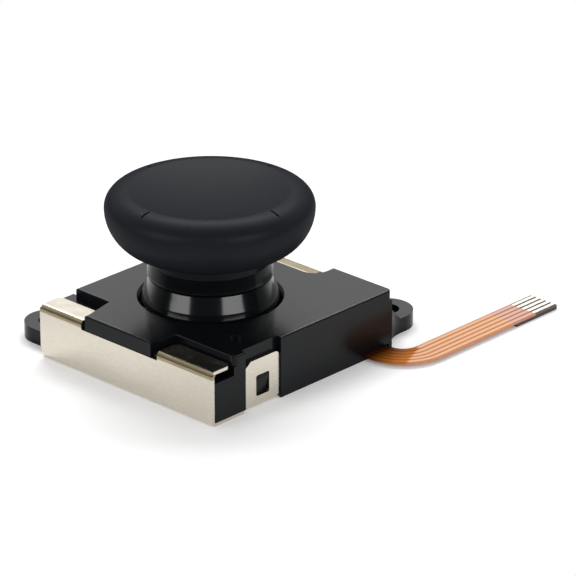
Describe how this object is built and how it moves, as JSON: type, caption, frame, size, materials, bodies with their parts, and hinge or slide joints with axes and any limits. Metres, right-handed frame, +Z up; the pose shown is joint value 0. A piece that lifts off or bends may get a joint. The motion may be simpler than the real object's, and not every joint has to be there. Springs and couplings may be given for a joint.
{
  "type": "controller analog stick",
  "caption": "Low-profile two-axis analog stick with a dished thumb cap that also clicks, in a black housing on a folded steel base, with a flat flex tail.",
  "frame": {"origin": "on the stick's axis, at the underside of the steel base", "axes": "+Z up along the upright stick, -Y towards the folded steel wall, +X towards the side where the flex circuit leaves"},
  "size_m": [0.0264, 0.033, 0.0132],
  "materials": {
    "housing": "semi-gloss black moulded",
    "steel": "nickel plated",
    "film": "glossy amber film",
    "stiffener": "dark",
    "contacts": "tin plated",
    "carbon": "carbon ink",
    "spring_steel": "bright",
    "gimbal": "natural acetal",
    "bell": "gloss black",
    "cap": "matte charcoal",
    "wiper": "bright"
  },
  "bodies": {
    "case": {"housing": "housing", "steel_base": "steel", "flex_circuit": "film", "flex_stiffener": "stiffener", "contact_fingers": "contacts", "track_x": "carbon", "track_y": "carbon", "click_dome": "spring_steel"},
    "rocker": {"rocker_frame": "gimbal"},
    "lever": {"pivot_lever": "gimbal", "pivot_pins": "spring_steel"},
    "stick": {"stem": "gimbal", "stick_bell": "bell", "thumb_cap": "cap", "centering_pin": "gimbal", "return_spring": "spring_steel"},
    "x_slider": {"slider_x": "gimbal", "wiper_x": "wiper"},
    "y_slider": {"slider_y": "gimbal", "wiper_y": "wiper"},
    "click_plate": {"click_plate": "gimbal"}
  },
  "joints": [
    {"name": "tilt_x", "type": "hinge", "parent": "case", "child": "rocker", "pos_m": [0, 0, 0.004], "axis": [1, 0, 0], "range_deg": [-14, 14], "stiffness_Nm_per_rad": 0.006},
    {"name": "tilt_y", "type": "hinge", "parent": "rocker", "child": "lever", "pos_m": [0, 0, 0.004], "axis": [0, 1, 0], "range_deg": [-14, 14], "stiffness_Nm_per_rad": 0.006},
    {"name": "click", "type": "slide", "parent": "lever", "child": "stick", "axis": [0, 0, 1], "range_m": [-0.0003, 0], "stiffness_N_per_m": 800},
    {"name": "slide_x", "type": "slide", "parent": "case", "child": "x_slider", "axis": [1, 0, 0], "range_m": [-0.00055, 0.00055]},
    {"name": "slide_y", "type": "slide", "parent": "case", "child": "y_slider", "axis": [0, 1, 0], "range_m": [-0.00057, 0.00057]},
    {"name": "plate_press", "type": "slide", "parent": "case", "child": "click_plate", "axis": [0, 0, 1], "range_m": [-0.0003, 0], "deforming": ["click_dome"]}
  ],
  "couplings": [
    {"joint": "slide_x", "follows": "tilt_y", "m_per_rad": -0.0022277},
    {"joint": "slide_y", "follows": "tilt_x", "m_per_rad": 0.0022772},
    {"joint": "plate_press", "follows": "click", "ratio": 1}
  ]
}
